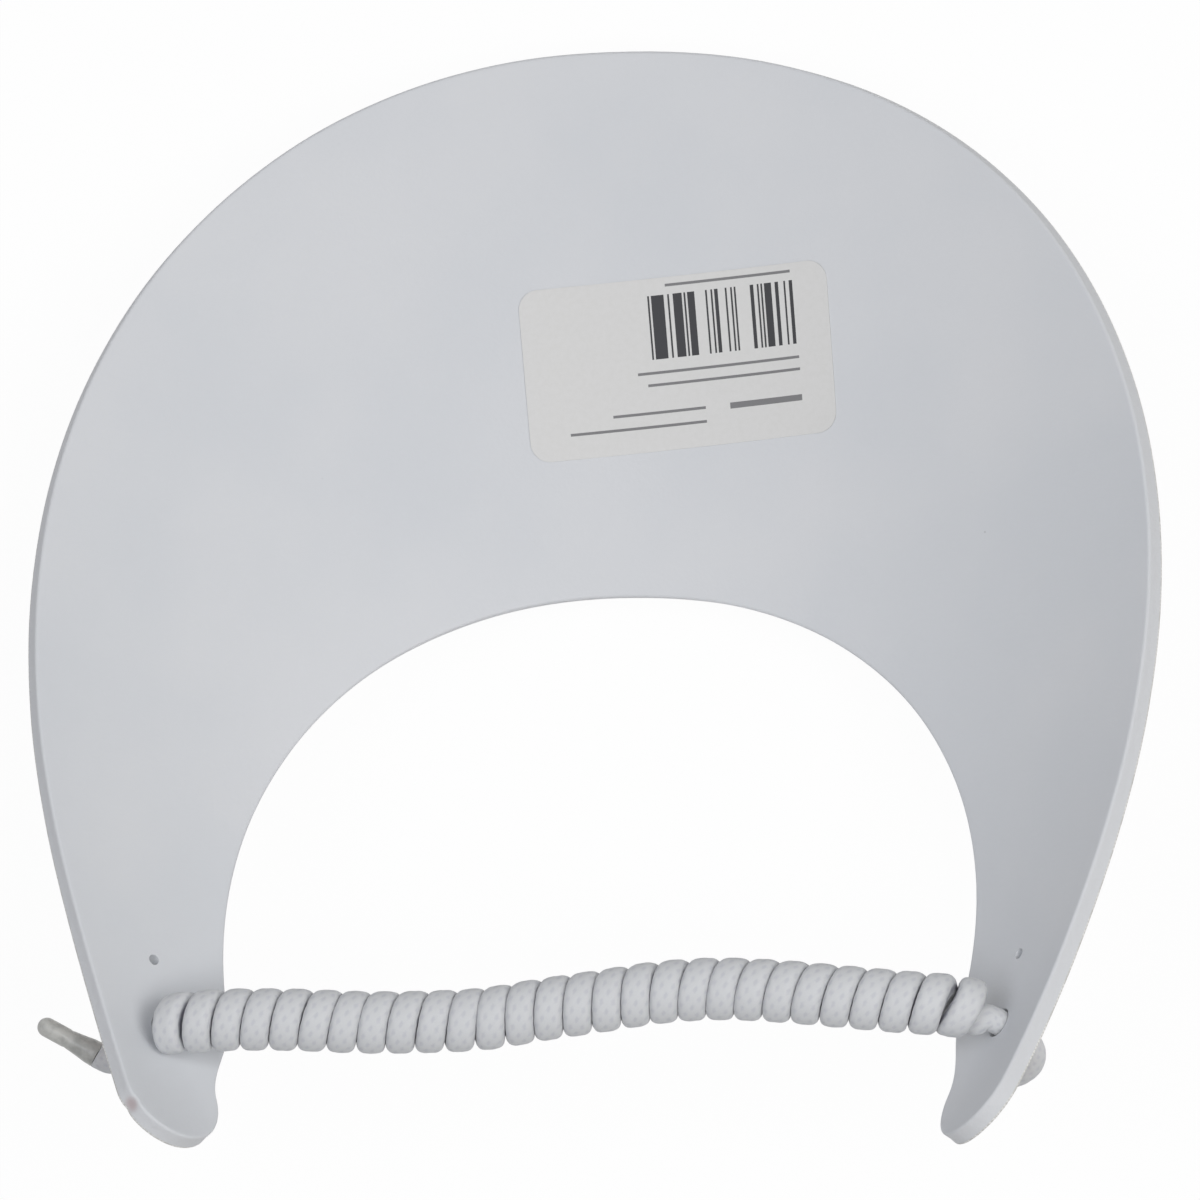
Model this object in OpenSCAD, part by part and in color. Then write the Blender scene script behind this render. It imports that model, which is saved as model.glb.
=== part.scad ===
// Foam sun visor with a coiled elastic lace, in millimetres.
// It lies on its outer face with both arms curling upwards: +Y is the front of the brim, +Z is up,
// and the origin is under the middle of the visor, on the surface that it rests on.
// The foam is die-cut flat and then bent into a shallow cone. flat [u, v] is a place on the flat
// pattern, where u runs to the right and v runs forwards from the forehead edge, and h is the
// height above the outer face, through the sheet.

/* [Flat pattern] */
// Width of the brim at its widest
brim_w = 224; // [186:1:270]
// Depth of the brim in front of the forehead edge
brim_front = 98; // [80:1:118]
// How far behind the forehead edge the brim is widest
widest_back = 24; // [12:1:32]
// Width of the forehead opening
opening_w = 158; // [131:1:190]
// Depth of the round part of the forehead opening
opening_depth = 80; // [66:1:96]
// Length of each arm from the round part of the opening to the middle of its round tip
arm_len = 17; // [14:1:24]
// Width of each arm at its round tip
tip_w = 20.8; // [17:0.1:25]
// Step of the arm's inner edge away from the middle at the tip
tip_step = 6; // [2:0.5:10]
// Lean of the arm tips towards each other, in degrees
arm_lean = 0; // [-8:1:12]
// Roundness of the outline, where 2 is an ellipse and more is squarer
outline_power = 2.15; // [1.9:0.05:2.6]

/* [Bend] */
// Half angle of the cone that the sheet is bent to, in degrees
cone_angle = 45; // [36:1:56]
// Distance of the cone's apex behind the forehead edge
apex_back = 142; // [134:1:190]

/* [Sheet] */
// Thickness of the foam
foam_t = 2.9; // [2:0.1:5]
// Thickness of the cover on the outer face
cover_t = 0.4; // [0.3:0.05:1]
// Gap on the centre line where the two sides flex
flex_gap = 0.2; // [0.1:0.05:0.4]

/* [Lace] */
// Thickness of the braided lace
lace_d = 4.9; // [4:0.1:5.6]
// Outside diameter of the lace's coil
coil_d = 11.2; // [9.4:0.1:13]
// Clearance of the lace in its holes, on the diameter
hole_clearance = 0.7; // [0.5:0.1:1.5]
// Distance of the lace hole from the end of the arm
hole_from_tip = 24; // [20:0.5:27]
// Distance of the tie hole from the end of the arm
pin_from_tip = 37.5; // [34:0.5:42]
// Distance of both holes from the arm's middle line, towards its inner edge
hole_inset = 2; // [0:0.5:3.5]
// Diameter of the tie hole
pin_d = 2; // [1:0.1:3]
// Length of each moulded tip on the lace
aglet_len = 12; // [9:0.5:16]
// Diameter of each moulded tip
aglet_d = 3.2; // [2.6:0.1:4]

/* [Label] */
// Width of the paper label
label_w = 58; // [40:1:68]
// Depth of the paper label
label_h = 31; // [20:1:38]
// Thickness of the paper label
label_t = 0.15; // [0.1:0.05:0.3]
// Thickness of the adhesive under the label
label_glue_t = 0.06; // [0.05:0.01:0.1]
// Place of the label's middle to the right of the centre line
label_u = 9.5; // [0:0.5:20]
// Place of the label's middle in front of the forehead edge
label_v = 42; // [30:1:55]
// Turn of the label, in degrees
label_turn = 5; // [-10:1:10]

/* [Hidden] */
$fn = 48;

sheet_t = foam_t + cover_t;
hole_d = lace_d + hole_clearance;
drill = 30;

// The lace's route, in part coordinates: the middle of its coil from the left arm to the right arm,
// and each tail from the coil through the hole to the moulded tip
coil_route = [[-73.4, -76, 50.7], [-71.7, -75, 52.2], [-69.3, -74.8, 53.6], [-65.5, -74.9, 54.8],
              [-60, -75.5, 55.3], [-50, -76, 55.5], [-38, -76.5, 55], [-27, -76.5, 55],
              [-16, -76, 54.5], [-6, -74.5, 54.5], [5, -73, 54.5], [16, -71.5, 54.5],
              [26, -71, 54.5], [37, -71.5, 55], [48, -72.5, 55.5], [60, -73.5, 55.3],
              [65.5, -74, 54.8], [69.3, -74.5, 53.6], [71.7, -75, 52.2], [73.4, -76, 50.7]];
left_tail = [[-73.4, -76, 50.7], [-75.1, -77, 49.2], [-77.2, -78.4, 47.3], [-78.6, -79.4, 46.1],
             [-80.3, -80.6, 44.8], [-82.4, -81.7, 43.9], [-84.7, -82.3, 43.5], [-87, -82.2, 43.6],
             [-89, -81.3, 44]];
right_tail = [[73.4, -76, 50.7], [75.1, -77, 49.2], [77.2, -78.4, 47.3], [78.5, -79.3, 45.9],
              [79.6, -80.6, 44.4], [80.1, -82.1, 42.9], [79.7, -83.7, 41.5], [78.3, -85, 40.2],
              [76.5, -85.8, 38.9], [74.4, -86.2, 37.5]];
coil_sides = 12;
tail_sides = 10;
// The right tail stops this far short of the coil's end face, which is on the other side
end_gap = 0.1;
collar_len = 2.5;

// Stations along each half of the outline, and cells from its outer edge to its inner edge
front_steps = 30;
side_steps = 16;
tip_steps = 7;
across = 8;
label_cols = 12;
label_rows = 6;
// The round tip stops this short of a quarter turn on each side, which leaves an end of under 2 mm
tip_sweep = 85;

brim_half = brim_w / 2;
opening_half = opening_w / 2;
tip_r = tip_w / 2;
arm_way = [-sin(arm_lean), -cos(arm_lean)];
arm_side = [cos(arm_lean), -sin(arm_lean)];
tip_mid = [opening_half + tip_step + tip_r, -opening_depth - arm_len];

function on_arm(from_end) = tip_mid + (tip_r - from_end) * arm_way - hole_inset * arm_side;
hole_at = on_arm(hole_from_tip);
pin_at = on_arm(pin_from_tip);

// A quarter of the rounded outline: angle 0 is the front and 90 is the side
function quarter(half_w, depth, angle) =
    [half_w * pow(sin(angle), 2 / outline_power), depth * pow(cos(angle), 2 / outline_power)];
function bezier(a, b, c, d, t) =
    pow(1 - t, 3) * a + 3 * t * pow(1 - t, 2) * b + 3 * t * t * (1 - t) * c + pow(t, 3) * d;

// An arm's edge from the widest place down to the side of its round tip
function arm_edge(start, finish, t) = let (reach = norm(finish - start) / 3)
    bezier(start, start + [0, -reach], finish - reach * arm_way, finish, t);

// One edge of the right half, from the centre line in front to the end of the arm
function edge(half_w, depth, middle_v, side) = concat(
    [for (i = [0:front_steps]) let (p = quarter(half_w, depth, 90 * i / front_steps))
        [max(p[0], flex_gap / 2), p[1] + middle_v]],
    [for (i = [1:side_steps])
        arm_edge([half_w, middle_v], tip_mid + side * tip_r * arm_side, i / side_steps)],
    [for (i = [1:tip_steps]) let (a = tip_sweep * i / tip_steps)
        tip_mid + tip_r * (cos(a) * side * arm_side + sin(a) * arm_way)]);

outer_edge = edge(brim_half, brim_front + widest_back, -widest_back, 1);
inner_edge = edge(opening_half, opening_depth, -opening_depth, -1);
pattern = [for (i = [0:len(outer_edge) - 1])
    [for (j = [0:across]) outer_edge[i] + (inner_edge[i] - outer_edge[i]) * j / across]];

// The bend: the cone's middle line lies along Y on z = 0, and its axis rises above it
cone_axis = [0, cos(cone_angle), sin(cone_angle)];
function cone_out(turn) =
    [sin(turn), sin(cone_angle) * cos(turn), -cos(cone_angle) * cos(turn)];
function turn_of(flat) = atan2(flat[0], flat[1] + apex_back) / sin(cone_angle);
function inward(flat) = sin(cone_angle) * cone_axis - cos(cone_angle) * cone_out(turn_of(flat));
function cone_point(flat, h) = let (reach = norm([flat[0], flat[1] + apex_back]))
    [0, -apex_back, 0]
    + reach * (cos(cone_angle) * cone_axis + sin(cone_angle) * cone_out(turn_of(flat)))
    + h * inward(flat);

// The origin is at the middle of the visor's length
edge_ys = [for (flat = concat(outer_edge, inner_edge), h = [0, sheet_t]) cone_point(flat, h)[1]];
middle_y = (max(edge_ys) + min(edge_ys)) / 2;
function bend(flat, h) = cone_point(flat, h) - [0, middle_y, 0];

// The two triangles of a face with four corners
function split(a, b, c, d) = [[a, b, c], [a, c, d]];

// A bent sheet from h0 to h1 over a grid of flat places, given as rows
module bent_sheet(rows, h0, h1) {
    n = len(rows);
    m = len(rows[0]);
    last = n - 1;
    edge_j = m - 1;
    function at(i, j, k) = 2 * (i * m + j) + k;
    faces = [
        for (i = [0:n - 2], j = [0:m - 2])
            each concat(split(at(i, j, 0), at(i, j + 1, 0), at(i + 1, j + 1, 0), at(i + 1, j, 0)),
                        split(at(i, j, 1), at(i + 1, j, 1), at(i + 1, j + 1, 1), at(i, j + 1, 1))),
        for (i = [0:n - 2])
            each concat(split(at(i, 0, 0), at(i + 1, 0, 0), at(i + 1, 0, 1), at(i, 0, 1)),
                        split(at(i, edge_j, 0), at(i, edge_j, 1),
                              at(i + 1, edge_j, 1), at(i + 1, edge_j, 0))),
        for (j = [0:m - 2])
            each concat(split(at(0, j, 0), at(0, j, 1), at(0, j + 1, 1), at(0, j + 1, 0)),
                        split(at(last, j, 0), at(last, j + 1, 0),
                              at(last, j + 1, 1), at(last, j, 1)))];
    polyhedron([for (row = rows, flat = row, h = [h0, h1]) bend(flat, h)], faces, convexity = 6);
}

// A round hole straight through the sheet at a flat place on the right side
module drilled(flat, d) {
    way = inward(flat);
    translate(bend(flat, sheet_t / 2))
        rotate([0, acos(way[2]), atan2(way[1], way[0])])
            cylinder(h = drill, d = d, center = true);
}

module right_layer(h0, h1) {
    difference() {
        bent_sheet(pattern, h0, h1);
        drilled(hole_at, hole_d);
        drilled(pin_at, pin_d);
    }
}

module foam_right() {
    color("whitesmoke") right_layer(cover_t, sheet_t);
}

module foam_left() {
    color("whitesmoke") mirror([1, 0, 0]) right_layer(cover_t, sheet_t);
}

module cover_right() {
    color("white") right_layer(0, cover_t);
}

module cover_left() {
    color("white") mirror([1, 0, 0]) right_layer(0, cover_t);
}

module label() {
    color("linen") bent_sheet(
        [for (i = [0:label_cols])
            [for (j = [0:label_rows])
                let (a = label_w * (i / label_cols - 0.5), b = label_h * (0.5 - j / label_rows))
                    [label_u + a * cos(label_turn) - b * sin(label_turn),
                     label_v + a * sin(label_turn) + b * cos(label_turn)]]],
        sheet_t + label_glue_t, sheet_t + label_glue_t + label_t);
}

// A closed round tube along a route, with a flat face square to it at each end
module swept(route, d, sides) {
    last = len(route) - 1;
    function heading(i) = let (way = route[min(i + 1, last)] - route[max(i - 1, 0)]) way / norm(way);
    function ring(i) =
        let (t = heading(i), across_way = cross(t, [0, 1, 0]),
             u = across_way / norm(across_way), v = cross(u, t))
            [for (k = [0:sides - 1]) let (a = 360 * k / sides)
                route[i] + d / 2 * (cos(a) * u + sin(a) * v)];
    function at(i, k) = i * sides + (k % sides);
    polyhedron([for (i = [0:last]) each ring(i)],
        concat([[for (k = [0:sides - 1]) at(0, k)]],
               [for (i = [0:last - 1], k = [0:sides - 1])
                   each split(at(i, k), at(i + 1, k), at(i + 1, k + 1), at(i, k + 1))],
               [[for (k = [sides - 1:-1:0]) at(last, k)]]), convexity = 6);
}

function way_between(a, b) = (b - a) / norm(b - a);

module lace_coil() {
    color("gainsboro") swept(coil_route, coil_d, coil_sides);
}

module lace_tail_left() {
    color("gainsboro") swept(left_tail, lace_d, tail_sides);
}

module lace_tail_right() {
    start = right_tail[0] + end_gap * way_between(right_tail[0], right_tail[1]);
    color("gainsboro")
        swept([start, for (i = [1:len(right_tail) - 1]) right_tail[i]], lace_d, tail_sides);
}

// A moulded tip, from a collar on the end of a tail to a round nose
module aglet_on(route) {
    end = route[len(route) - 1];
    way = way_between(route[len(route) - 2], end);
    nose_r = aglet_d / 2;
    color("darkgray", 0.9) translate(end) rotate([0, acos(way[2]), atan2(way[1], way[0])])
        rotate_extrude() union() {
            polygon([[0, 0], [lace_d / 2, 0], [nose_r, collar_len],
                     [nose_r, aglet_len - nose_r], [0, aglet_len - nose_r]]);
            translate([0, aglet_len - nose_r])
                intersection() {
                    circle(r = nose_r);
                    square(2 * nose_r);
                }
        }
}

module aglet_left() {
    aglet_on(left_tail);
}

module aglet_right() {
    aglet_on(right_tail);
}

foam_left();
foam_right();
cover_left();
cover_right();
label();
lace_coil();
lace_tail_left();
lace_tail_right();
aglet_left();
aglet_right();
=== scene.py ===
"""A foam sun visor with a coiled elastic lace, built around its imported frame.

The foam was die-cut flat and then bent, so its outline is drawn flat and laid on a shallow cone.
Sizes are in millimetres until a mesh is made, and every mesh is in metres in the row frame: +Y is the
front of the brim, +X is to the right from above, and the visor lies on z = 0 with its arms curling up.
"""
import logging
import math
from collections.abc import Callable
from dataclasses import dataclass, field
from enum import Enum
from functools import partial

import bmesh
import bpy
import numpy as np
from mathutils import Matrix, Vector


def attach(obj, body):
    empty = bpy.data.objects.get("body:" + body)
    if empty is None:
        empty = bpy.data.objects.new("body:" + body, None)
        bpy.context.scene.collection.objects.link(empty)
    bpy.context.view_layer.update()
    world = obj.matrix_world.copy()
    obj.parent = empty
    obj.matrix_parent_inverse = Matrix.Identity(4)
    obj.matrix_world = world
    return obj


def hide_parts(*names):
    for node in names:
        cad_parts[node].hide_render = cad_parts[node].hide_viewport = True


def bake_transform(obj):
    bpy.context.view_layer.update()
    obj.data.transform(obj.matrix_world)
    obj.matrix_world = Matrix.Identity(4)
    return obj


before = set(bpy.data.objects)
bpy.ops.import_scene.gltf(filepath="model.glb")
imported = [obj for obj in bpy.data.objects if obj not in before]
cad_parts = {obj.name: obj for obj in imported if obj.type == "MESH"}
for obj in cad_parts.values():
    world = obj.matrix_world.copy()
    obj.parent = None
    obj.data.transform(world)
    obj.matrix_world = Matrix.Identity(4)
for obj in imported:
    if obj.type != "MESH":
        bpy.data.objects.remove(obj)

LOG = logging.getLogger("sun_visor")
MM = 0.001
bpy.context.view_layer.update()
# A distance from the centre line, in metres, given for the sheet and the label
BRIM_REACH = 0.045

# Short names for the node types and settings that the trees use most
MATH, VECTOR, RANGE = "ShaderNodeMath", "ShaderNodeVectorMath", "ShaderNodeMapRange"
NOISE, BUMP = "ShaderNodeTexNoise", "ShaderNodeBump"
OUTPUT = "ShaderNodeOutputMaterial"
STORE, NAMED = "GeometryNodeStoreNamedAttribute", "GeometryNodeInputNamedAttribute"
SMOOTH = {"interpolation_type": "SMOOTHSTEP"}
VECTORS = {"data_type": "FLOAT_VECTOR"}


class Body(Enum):
    """The frame's two moving bodies, which meet on the centre line."""

    LEFT = "left_side"
    RIGHT = "right_side"


class Slot(Enum):
    """The record's material slots."""

    FOAM = "foam"
    COVER = "cover"
    LABEL = "label_paper"
    LACE = "lace"
    AGLET = "aglet"


# ---------------------------------------------------------------- node helpers

def linear(hex_code: str) -> tuple[float, float, float, float]:
    """Turns an sRGB hex colour into linear light.

    Args:
        hex_code: Six hex digits.

    Returns:
        Red, green, blue and alpha for a shader socket.
    """
    parts = [int(hex_code[k:k + 2], 16) / 255 for k in (0, 2, 4)]
    red, green, blue = (c / 12.92 if c <= 0.04045 else ((c + 0.055) / 1.055) ** 2.4 for c in parts)
    return red, green, blue, 1.0


def add_node(tree: bpy.types.NodeTree, kind: str, links: dict | tuple = (),
             **settings: object) -> bpy.types.Node:
    """Adds one node with its settings, its values and its links.

    Args:
        tree: The node tree that gets the node.
        kind: The node's type name.
        links: The inputs, by name or number, or else all in order. Each is a value, a socket, or a
            node, which stands for its first output.
        **settings: Properties of the node itself.

    Returns:
        The new node.
    """
    node = tree.nodes.new(kind)
    for name, value in settings.items():
        setattr(node, name, value)
    for key, value in links.items() if isinstance(links, dict) else enumerate(links):
        if isinstance(value, bpy.types.Node):
            value = value.outputs[0]
        if isinstance(value, bpy.types.NodeSocket):
            tree.links.new(value, node.inputs[key])
        else:
            node.inputs[key].default_value = value
    return node


def new_material(name: str) -> tuple[bpy.types.Material, Callable]:
    """Starts a material with an empty node tree.

    Args:
        name: The material's name.

    Returns:
        The material, and add_node for its tree.
    """
    material = bpy.data.materials.new(name)
    material.use_nodes = True
    material.node_tree.nodes.clear()
    return material, partial(add_node, material.node_tree)


def seen_directly(add: Callable) -> bpy.types.Node:
    """Tells what is seen, by the camera or in a reflection, from what only lights the scene.

    Args:
        add: Adds a node to the tree.

    Returns:
        A node that gives 1 for what is seen and 0 for the rest.
    """
    rays = add("ShaderNodeLightPath").outputs
    mirrored = add(MATH, (rays["Is Glossy Ray"], rays["Is Transmission Ray"]), operation="MAXIMUM")
    return add(MATH, (rays["Is Camera Ray"], mirrored), operation="MAXIMUM")


def paint(add: Callable, base: str, layers: list[tuple], surface: dict) -> None:
    """Lays colours over one another and gives them to the material's surface.

    Args:
        add: Adds a node to the tree.
        base: The lowest colour.
        layers: How much of each further colour shows, as a node or a socket, and that colour.
        surface: The surface's other inputs.
    """
    tone = linear(base)
    for share, colour in layers:
        tone = add("ShaderNodeMix", {0: share, 6: tone, 7: linear(colour)}, data_type="RGBA").outputs[2]
    add(OUTPUT, {"Surface": add("ShaderNodeBsdfPrincipled", {"Base Color": tone, **surface})})


# ---------------------------------------------------------------- finishes

@dataclass(frozen=True)
class EvaFoamFinish:
    """Cross-linked EVA foam, peeled from a press: a matt closed-cell skin, with open cells at the cut."""

    skin: str = "D9DADC"
    cut: str = "D6D7D9"
    mottle: str = "D4D6D9"
    speck: str = "8B8A8C"
    stain: str = "B5A2A2"
    roughness: float = 0.62
    # Real closed cells are about 0.25 mm, which is finer than the view shows, so they are drawn at 0.7 mm
    cell_mm: float = 0.7
    # Cells torn open by the die, and the slow unevenness of the sheet
    torn_mm: float = 1.6
    cloud_mm: float = 46.0
    speck_every_mm: float = 17.0

    def material(self, stain_at: Vector) -> bpy.types.Material:
        """Builds the foam's material.

        Args:
            stain_at: Middle of the rubbed nick on the cut edge, in metres.

        Returns:
            The foam's material.
        """
        material, add = new_material("EVA foam, moulded skin and die-cut edge")
        place = add("ShaderNodeTexCoord").outputs["Object"]
        cut = add("ShaderNodeAttribute", attribute_name="cut_edge").outputs["Fac"]
        cells = add("ShaderNodeTexVoronoi", {"Vector": place, "Scale": 1 / (self.cell_mm * MM),
                                             "Smoothness": 0.6}, feature="SMOOTH_F1")
        torn = add(NOISE, {"Vector": place, "Scale": 1 / (self.torn_mm * MM), "Detail": 4.0,
                           "Roughness": 0.6})
        cloud = add(NOISE, {"Vector": place, "Scale": 1 / (self.cloud_mm * MM), "Detail": 3.0,
                            "Roughness": 0.5})
        mottled = add(RANGE, (cloud, 0.32, 0.68, 0.0, 1.0), **SMOOTH)
        # Dust and crumbs from the cutting press, a few tenths of a millimetre wide, in half the cells
        dust = add("ShaderNodeTexVoronoi", {"Vector": place, "Scale": 1 / (self.speck_every_mm * MM),
                                            "Randomness": 1.0}, feature="F1")
        chance = add("ShaderNodeSeparateColor", (dust.outputs["Color"],))
        chosen = add(RANGE, (chance, 0.5, 0.52, 0.0, 1.0), **SMOOTH)
        near = add(RANGE, (dust, 0.012, 0.02, 0.75, 0.0), **SMOOTH)
        specks = add(MATH, (chosen, near), operation="MULTIPLY")
        # Printed cloth rubbed off on the nick in the left arm's edge
        away = add(VECTOR, (place, tuple(stain_at)), operation="DISTANCE").outputs["Value"]
        close = add(RANGE, (away, 0.5 * MM, 2.0 * MM, 0.7, 0.0), **SMOOTH)
        rubbed = add(MATH, (close, cut), operation="MULTIPLY")
        fine = add(BUMP, {"Strength": 0.22, "Distance": 0.1 * MM, "Height": cells})
        open_cells = add(MATH, (cut, 0.55, 0.06), operation="MULTIPLY_ADD")
        rough = add(BUMP, {"Strength": open_cells, "Distance": 0.25 * MM, "Height": torn, "Normal": fine})
        wave = add(BUMP, {"Strength": 0.35, "Distance": 0.5 * MM, "Height": cloud, "Normal": rough})
        paint(add, self.skin, [(mottled, self.mottle), (cut, self.cut), (specks, self.speck),
                               (rubbed, self.stain)],
              {"Roughness": self.roughness, "IOR": 1.48, "Specular IOR Level": 0.35,
               "Sheen Weight": 0.08, "Sheen Roughness": 0.5, "Normal": wave})
        return material


@dataclass(frozen=True)
class WovenCoverFinish:
    """Polyester-cotton plain weave, bleached and laminated: matt threads with a plain printed border."""

    thread: str = "EDECE8"
    gap: str = "C9C8C4"
    border: str = "B43A3E"
    roughness: float = 0.85
    # Real threads are 0.35 mm apart, and are drawn at 0.7 mm so that the weave shows
    thread_mm: float = 0.7
    # Thick places in the yarn
    slub_mm: float = 3.0
    border_in_mm: float = 4.6
    border_w_mm: float = 1.6
    border_blur_mm: float = 0.15

    def material(self) -> bpy.types.Material:
        """Builds the cloth's material, whose weave follows the flat cut through the UV map.

        Returns:
            The cloth's material.
        """
        material, add = new_material("Polycotton plain weave, laminated")
        flat = add("ShaderNodeUVMap", uv_map="flat_cut")
        turn = math.pi / (self.thread_mm * MM)
        warp, weft = (add(MATH, (add(MATH, (part, turn), operation="MULTIPLY"),), operation="SINE")
                      for part in add("ShaderNodeSeparateXYZ", (flat,)).outputs[:2])
        crossed = add(MATH, (warp, weft), operation="MULTIPLY")
        weave = add(MATH, (crossed, 0.5, 0.5), operation="MULTIPLY_ADD")
        rows = add(MATH, tuple(add(MATH, (yarn,), operation="ABSOLUTE") for yarn in (warp, weft)),
                   operation="MULTIPLY")
        height = add(MATH, (weave, 0.5, rows), operation="MULTIPLY_ADD")
        slub = add(NOISE, {"Vector": flat, "Scale": 1 / (self.slub_mm * MM), "Detail": 3.0,
                           "Roughness": 0.6})
        inset = add("ShaderNodeAttribute", attribute_name="edge_mm").outputs["Fac"]
        past = add(MATH, (inset, self.border_in_mm), operation="SUBTRACT")
        off = add(MATH, (past,), operation="ABSOLUTE")
        half, blur = self.border_w_mm / 2, self.border_blur_mm
        layers = [(add(RANGE, (value, *places), **SMOOTH), colour) for value, *places, colour in (
            (height, 0.1, 1.0, 0.0, 1.0, self.thread), (slub, 0.4, 0.75, 0.0, 0.25, self.gap),
            (off, half - blur, half + blur, 0.9, 0.0, self.border))]
        bump = add(BUMP, {"Strength": 0.7, "Distance": 0.12 * MM, "Height": height})
        paint(add, self.gap, layers,
              {"Roughness": self.roughness, "IOR": 1.5, "Specular IOR Level": 0.3,
               "Sheen Weight": 0.15, "Sheen Roughness": 0.45, "Normal": bump})
        return material


@dataclass(frozen=True)
class LabelPaperFinish:
    """Matt coated label paper: faint fibres, and plain bars and ruled lines in thermal black."""

    paper: str = "DAD9D7"
    fibre: str = "CECDC9"
    ink: str = "2B2B2E"
    rule: str = "4A4A4E"
    roughness: float = 0.55
    fibres_per_mm: float = 0.9
    # One bar module of the plain bar block, and the share of modules left as paper
    bar_mm: float = 0.34
    bar_gaps: float = 0.47
    # The bar block's sides across the label, and its bottom and top, as shares of the label
    block_across: tuple[float, float] = (0.39, 0.885)
    block_up: tuple[float, float] = (0.53, 0.9)
    # Ruled lines: how far up the label, where each starts and ends across it, and its thickness
    rules: tuple = ((0.945, 0.47, 0.88, 0.5), (0.445, 0.36, 0.89, 0.5), (0.375, 0.39, 0.89, 0.5),
                    (0.20, 0.65, 0.89, 1.1), (0.215, 0.27, 0.57, 0.5), (0.135, 0.13, 0.57, 0.5))
    rule_ink: float = 0.8

    def material(self, width: float, height: float) -> bpy.types.Material:
        """Builds the label's material.

        Args:
            width: The label's width in millimetres.
            height: The label's height in millimetres.

        Returns:
            The paper with its generic block of bars and its ruled lines.
        """
        material, add = new_material("Coated label paper, thermal ink")
        flat = add("ShaderNodeUVMap", uv_map="label")
        across, up = add("ShaderNodeSeparateXYZ", (flat,)).outputs[:2]

        def box(start: float, finish: float, low: float, high: float) -> bpy.types.Node:
            """Finds what lies in a box on the label.

            Args:
                start: The box's side on the left, in millimetres.
                finish: Its side on the right.
                low: Its bottom.
                high: Its top.

            Returns:
                A node that gives 1 inside the box and 0 outside it.
            """
            inside = 1.0
            for value, edge, side in ((across, start, "GREATER_THAN"), (across, finish, "LESS_THAN"),
                                      (up, low, "GREATER_THAN"), (up, high, "LESS_THAN")):
                within = add(MATH, (value, edge * MM), operation=side)
                inside = add(MATH, (inside, within), operation="MULTIPLY")
            return inside

        fibre = add(NOISE, {"Vector": flat, "Scale": self.fibres_per_mm / MM, "Detail": 4.0,
                            "Roughness": 0.65})
        flecks = add(RANGE, (fibre, 0.35, 0.7, 0.0, 0.22), **SMOOTH)
        module = add(MATH, (across, self.bar_mm * MM), operation="DIVIDE")
        module = add(MATH, (module,), operation="FLOOR")
        dice = add("ShaderNodeTexWhiteNoise", {"W": module}, noise_dimensions="1D")
        inked = add(MATH, (dice, self.bar_gaps), operation="GREATER_THAN")
        block = box(*(width * x for x in self.block_across), *(height * y for y in self.block_up))
        bars = add(MATH, (inked, block), operation="MULTIPLY")
        lines = 0.0
        for place, start, finish, thick in self.rules:
            ruled = box(width * start, width * finish, height * place, height * place + thick)
            lines = add(MATH, (lines, ruled), operation="MAXIMUM")
        rules = add(MATH, (lines, self.rule_ink), operation="MULTIPLY")
        bump = add(BUMP, {"Strength": 0.12, "Distance": 0.03 * MM, "Height": fibre})
        paint(add, self.paper, [(flecks, self.fibre), (bars, self.ink), (rules, self.rule)],
              {"Roughness": self.roughness, "IOR": 1.5, "Specular IOR Level": 0.4, "Normal": bump})
        return material


@dataclass(frozen=True)
class BraidedLaceFinish:
    """Braided polyester over rubber: soft matt yarns, with shadowed valleys between the strands."""

    yarn: str = "D8D9DA"
    valley: str = "CDCED2"
    # Painted shade for the crevices where the coil's turns press together
    crevice_shade: str = "55556A"
    roughness: float = 0.78
    # Real filaments are 0.05 mm, so the bundles of them are drawn 0.25 mm wide
    bundle_mm: float = 0.25
    patch_mm: float = 9.0

    def material(self) -> bpy.types.Material:
        """Builds the lace's material from its stored braid height and how far it is pressed.

        Returns:
            The lace's material.
        """
        material, add = new_material("Braided polyester yarn over rubber")
        place = add("ShaderNodeTexCoord").outputs["Object"]
        lift, pressed = (add("ShaderNodeAttribute", attribute_name=name).outputs["Fac"]
                         for name in ("braid_height", "pressed"))
        fuzz = add(NOISE, {"Vector": place, "Scale": 1 / (self.bundle_mm * MM), "Detail": 3.0,
                           "Roughness": 0.6, "Distortion": 0.6})
        patches = add(NOISE, {"Vector": place, "Scale": 1 / (self.patch_mm * MM), "Detail": 2.0,
                              "Roughness": 0.5})
        # The last layer is painted shade, which darkens the crevices where the turns press together
        layers = [(add(RANGE, (value, low, high, 0.0, most), **SMOOTH), colour)
                  for value, low, high, most, colour in (
                      (lift, 0.25, 0.7, 1.0, self.yarn), (patches, 0.42, 0.8, 0.12, self.valley),
                      (fuzz, 0.4, 0.75, 0.1, self.valley), (pressed, 0.9, 0.995, 0.85, self.crevice_shade))]
        bump = add(BUMP, {"Strength": 0.4, "Distance": 0.12 * MM, "Height": fuzz})
        paint(add, self.valley, layers,
              {"Roughness": self.roughness, "IOR": 1.5, "Specular IOR Level": 0.3,
               "Sheen Weight": 0.1, "Sheen Roughness": 0.4, "Normal": bump})
        return material


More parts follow.
